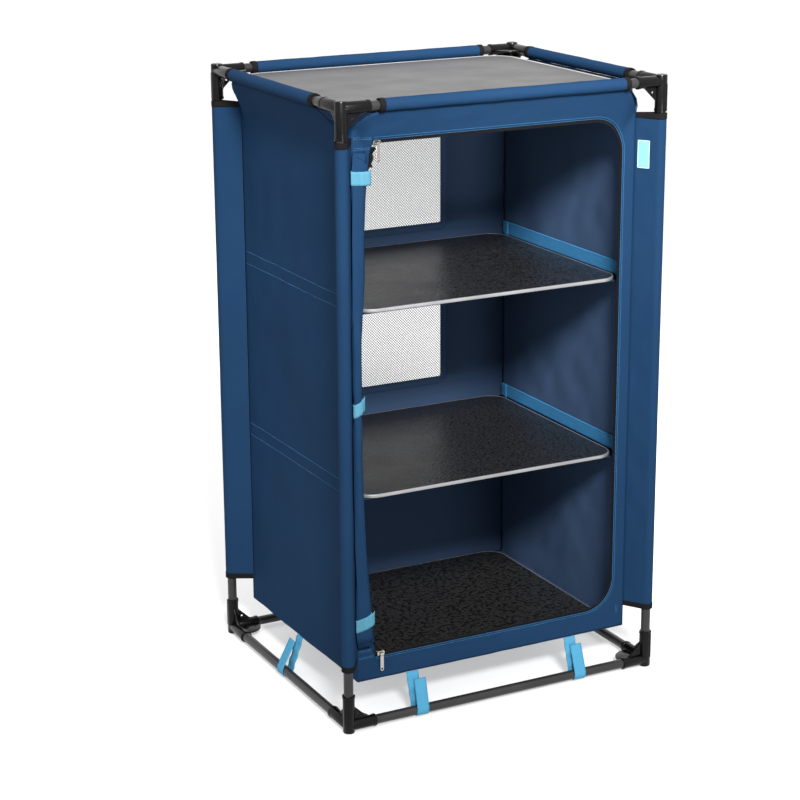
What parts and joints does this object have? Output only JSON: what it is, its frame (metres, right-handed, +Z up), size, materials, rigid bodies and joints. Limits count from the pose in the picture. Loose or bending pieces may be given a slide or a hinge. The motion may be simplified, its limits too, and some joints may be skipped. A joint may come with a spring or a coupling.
{
  "type": "camping cupboard",
  "caption": "Free-standing camping cupboard: tube frame with corner connectors, hung fabric cabinet with rolled door and loose shelf boards.",
  "frame": {"origin": "on the floor, under the middle of the frame", "axes": "+X to the right when facing the door, -Y out of the door, +Z up"},
  "size_m": [0.6008, 0.501, 1.04],
  "materials": {
    "blue_cloth": "woven polyester, matt",
    "navy_cloth": "woven polyester, matt",
    "light_webbing": "webbing, matt",
    "dark_tube": "satin powder coat",
    "black_plastic": "satin moulded",
    "bright_metal": "bright",
    "grey_board": "satin laminate",
    "black_board": "satin laminate",
    "top_grey": "satin laminate",
    "pale_net": "fine net",
    "zip_black": "woven tape and moulded coil"
  },
  "bodies": {
    "cabinet": {"post_front_left": "dark_tube", "post_front_right": "dark_tube", "post_back_left": "dark_tube", "post_back_right": "dark_tube", "base_tube_front": "dark_tube", "base_tube_back": "dark_tube", "base_tube_left": "dark_tube", "base_tube_right": "dark_tube", "top_tube_front": "dark_tube", "top_tube_back": "dark_tube", "top_tube_left": "dark_tube", "top_tube_right": "dark_tube", "base_connector_front_left": "black_plastic", "base_connector_front_right": "black_plastic", "base_connector_back_left": "black_plastic", "base_connector_back_right": "black_plastic", "top_connector_front_left": "black_plastic", "top_connector_front_right": "black_plastic", "top_connector_back_left": "black_plastic", "top_connector_back_right": "black_plastic", "front_panel": "blue_cloth", "back_panel": "blue_cloth", "left_panel": "blue_cloth", "right_panel": "blue_cloth", "roof_panel": "blue_cloth", "floor_panel": "navy_cloth", "corner_wing_front_left": "blue_cloth", "corner_wing_front_right": "blue_cloth", "corner_wing_back_left": "blue_cloth", "corner_wing_back_right": "blue_cloth", "window_net_upper": "pale_net", "window_net_lower": "pale_net", "shelf_sling_upper": "light_webbing", "shelf_sling_lower": "light_webbing", "base_strap_front_left": "light_webbing", "base_strap_front_right": "light_webbing", "base_strap_back_left": "light_webbing", "base_strap_back_right": "light_webbing", "base_strap_left": "light_webbing", "base_strap_right": "light_webbing", "door_roll": "blue_cloth", "roll_strap_upper": "light_webbing", "roll_strap_middle": "light_webbing", "roll_strap_lower": "light_webbing", "zip_track": "zip_black", "label_tab": "light_webbing"},
    "zip_slider_top": {"zip_slider_top": "bright_metal"},
    "zip_pull_top": {"zip_pull_top": "bright_metal"},
    "zip_slider_low": {"zip_slider_low": "bright_metal"},
    "zip_pull_low": {"zip_pull_low": "bright_metal"},
    "upper_shelf": {"upper_shelf": "grey_board", "upper_shelf_edge_trim": "bright_metal"},
    "lower_shelf": {"lower_shelf": "grey_board", "lower_shelf_edge_trim": "bright_metal"},
    "bottom_board": {"bottom_board": "black_board", "bottom_board_edge_trim": "bright_metal"},
    "top_board": {"top_board": "top_grey", "top_board_edge_trim": "bright_metal"}
  },
  "joints": [
    {"name": "zip_slider_top_slide", "type": "slide", "parent": "cabinet", "child": "zip_slider_top", "axis": [1, 0, 0], "range_m": [0, 0.39]},
    {"name": "zip_pull_top_swing", "type": "hinge", "parent": "zip_slider_top", "child": "zip_pull_top", "pos_m": [-0.2212, -0.22662, 0.96805], "axis": [-1, 0, 0], "range_deg": [0, 150]},
    {"name": "zip_slider_low_slide", "type": "slide", "parent": "cabinet", "child": "zip_slider_low", "axis": [1, 0, 0], "range_m": [-0.0038, 0.385]},
    {"name": "zip_pull_low_swing", "type": "hinge", "parent": "zip_slider_low", "child": "zip_pull_low", "pos_m": [-0.217, -0.2181, 0.11595], "axis": [-1, 0, 0], "range_deg": [0, 150]},
    {"name": "upper_shelf_lift", "type": "slide", "parent": "cabinet", "child": "upper_shelf", "axis": [0, 0, 1], "range_m": [0, 0.3]},
    {"name": "lower_shelf_lift", "type": "slide", "parent": "cabinet", "child": "lower_shelf", "axis": [0, 0, 1], "range_m": [0, 0.29]},
    {"name": "bottom_board_lift", "type": "slide", "parent": "cabinet", "child": "bottom_board", "axis": [0, 0, 1], "range_m": [0, 0.29]},
    {"name": "top_board_lift", "type": "slide", "parent": "cabinet", "child": "top_board", "axis": [0, 0, 1], "range_m": [0, 0.3]}
  ]
}
